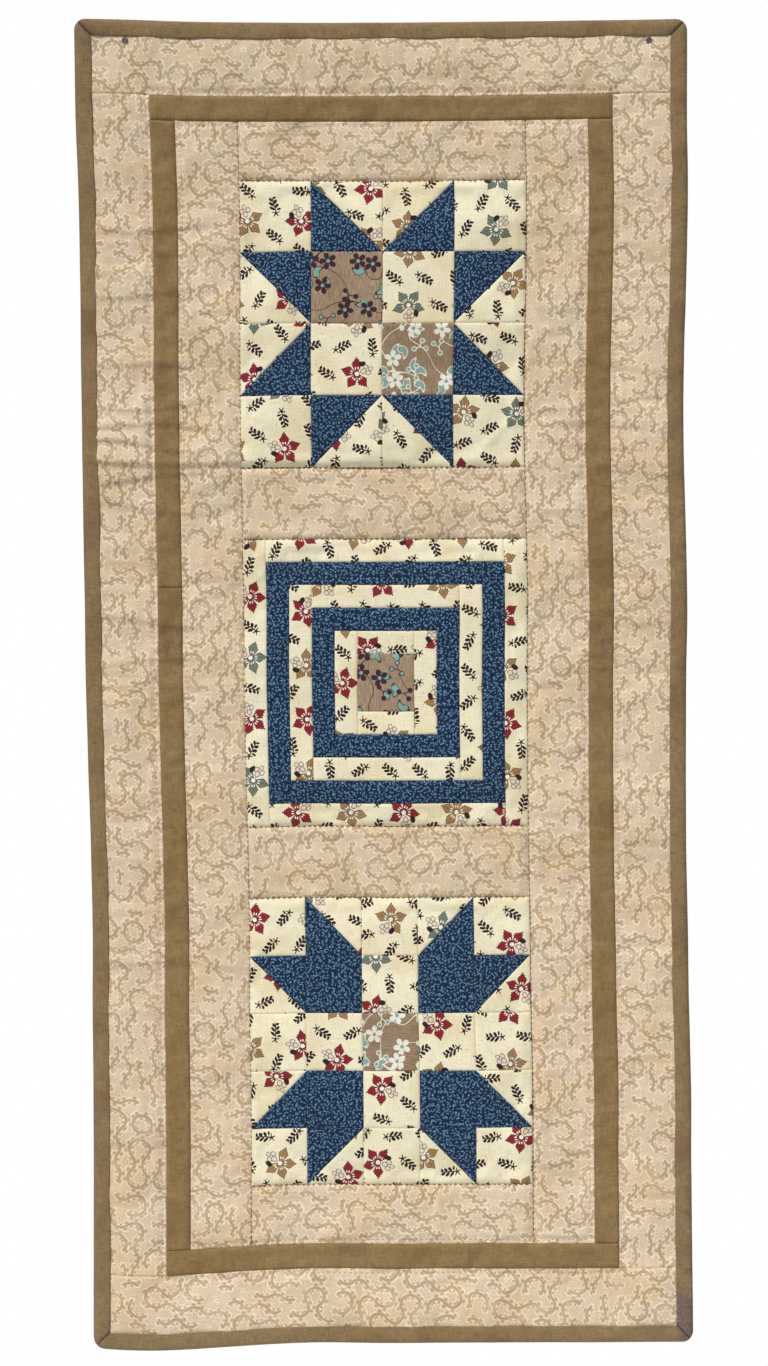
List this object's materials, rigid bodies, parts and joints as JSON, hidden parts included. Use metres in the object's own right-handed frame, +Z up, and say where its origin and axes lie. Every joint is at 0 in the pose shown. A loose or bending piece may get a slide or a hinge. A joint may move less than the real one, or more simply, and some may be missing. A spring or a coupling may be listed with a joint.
{
  "type": "pieced wall quilt",
  "caption": "Small pieced quilt hung flat from pins: star, square-ring and arrow blocks in beige print sashing, a narrow brown frame, a print border and a rolled brown binding.",
  "frame": {"origin": "middle of the quilt in width and height, on the plane of the wall that the rear of the binding touches", "axes": "+Z up as it hangs, +Y from the front into the wall, +X to the right as the front is seen"},
  "size_m": [0.34, 0.0144, 0.736],
  "materials": {
    "binding_brown": "matt slubbed cotton, rolled edge, worn darker in places",
    "frame_brown": "matt slubbed cotton",
    "vine_beige": "matt cotton print, tan vine edged with cream on stippled beige",
    "sprig_cream": "matt cotton print, small flowers and dark sprigs on cream",
    "leaf_navy": "matt cotton print, tiny light blue leaves on navy",
    "floral_brown": "matt cotton print, dark, teal and white flowers on stems over brown",
    "backing_cloth": "plain cream cotton",
    "batting": "loose white cotton fibre",
    "pin_steel": "dulled steel",
    "thread": "cotton quilting thread"
  },
  "bodies": {
    "root": {"backing": "backing_cloth", "batting": "batting", "binding_top": "binding_brown", "binding_right": "binding_brown", "binding_bottom": "binding_brown", "binding_left": "binding_brown", "border_top": "vine_beige", "border_right": "vine_beige", "border_bottom": "vine_beige", "border_left": "vine_beige", "sash_left": "vine_beige", "sash_right": "vine_beige", "sash_cross_1": "vine_beige", "sash_cross_2": "vine_beige", "sash_cross_3": "vine_beige", "sash_cross_4": "vine_beige", "frame_top": "frame_brown", "frame_bottom": "frame_brown", "frame_right": "frame_brown", "frame_left_upper": "frame_brown", "frame_left_lower": "frame_brown", "star_corner_top_left": "sprig_cream", "star_corner_top_right": "sprig_cream", "star_corner_bottom_right": "sprig_cream", "star_corner_bottom_left": "sprig_cream", "star_between_top": "sprig_cream", "star_between_right": "sprig_cream", "star_between_bottom": "sprig_cream", "star_between_left": "sprig_cream", "arrow_corner_top_left": "sprig_cream", "arrow_corner_top_right": "sprig_cream", "arrow_corner_bottom_right": "sprig_cream", "arrow_corner_bottom_left": "sprig_cream", "arrow_arm_top": "sprig_cream", "arrow_arm_right": "sprig_cream", "arrow_arm_bottom": "sprig_cream", "arrow_arm_left": "sprig_cream", "steps_round_1": "sprig_cream", "steps_round_3": "sprig_cream", "steps_round_5": "sprig_cream", "star_point_first_top": "leaf_navy", "star_point_first_right": "leaf_navy", "star_point_first_bottom": "leaf_navy", "star_point_first_left": "leaf_navy", "star_point_second_top": "leaf_navy", "star_point_second_right": "leaf_navy", "star_point_second_bottom": "leaf_navy", "star_point_second_left": "leaf_navy", "arrow_head_top_left": "leaf_navy", "arrow_head_top_right": "leaf_navy", "arrow_head_bottom_right": "leaf_navy", "arrow_head_bottom_left": "leaf_navy", "steps_round_2": "leaf_navy", "steps_round_4": "leaf_navy", "star_centre_upper_pair": "floral_brown", "star_centre_lower_pair": "floral_brown", "steps_centre": "floral_brown", "arrow_centre": "floral_brown", "hanging_pin_left": "pin_steel", "hanging_pin_right": "pin_steel"}
  },
  "joints": []
}
